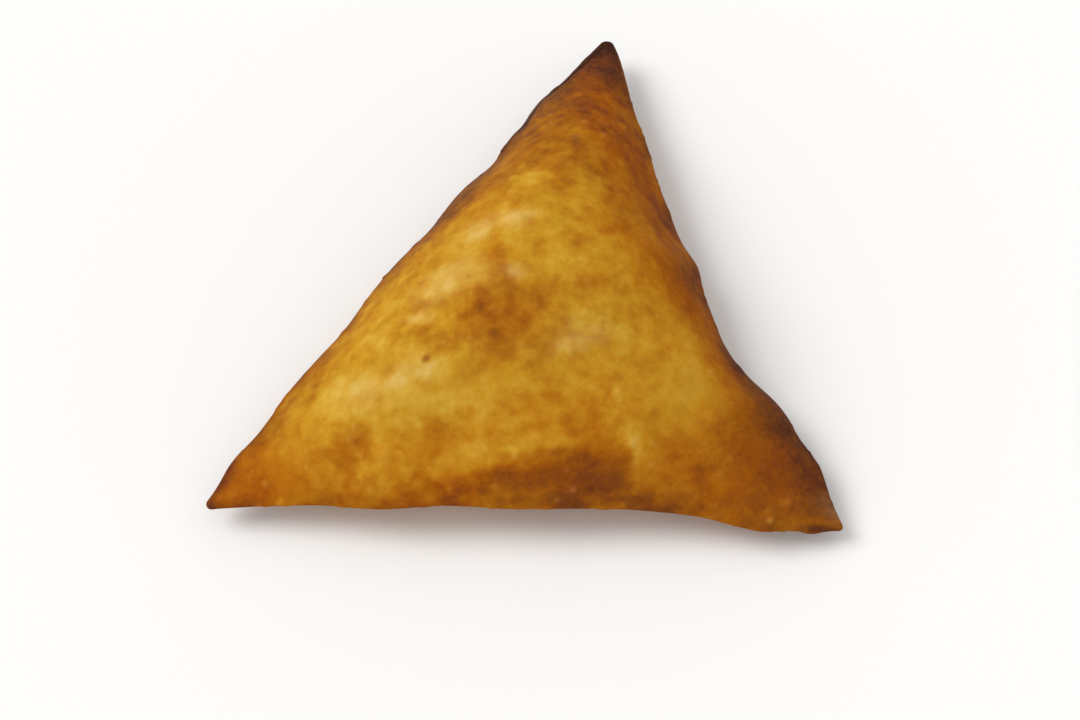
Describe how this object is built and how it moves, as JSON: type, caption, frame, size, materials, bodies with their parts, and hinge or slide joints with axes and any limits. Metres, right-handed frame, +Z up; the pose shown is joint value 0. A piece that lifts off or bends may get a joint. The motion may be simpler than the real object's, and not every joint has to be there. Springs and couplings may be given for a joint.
{
  "type": "samosa",
  "caption": "Triangular folded pastry with a crowned top, thin folded rim, slim tips and a flattened belly, fried golden to brown.",
  "frame": {"origin": "middle of the outline's box in plan, on the plane that the samosa rests on", "axes": "+X along the front edge towards the right tip, +Y towards the back tip, +Z up through the crowned top sheet"},
  "size_m": [0.098, 0.0924, 0.026],
  "materials": {
    "crust": "fried pastry crust, golden with browned patches and scorched tips, nearly matt"
  },
  "bodies": {
    "root": {"samosa": "crust"}
  },
  "joints": []
}
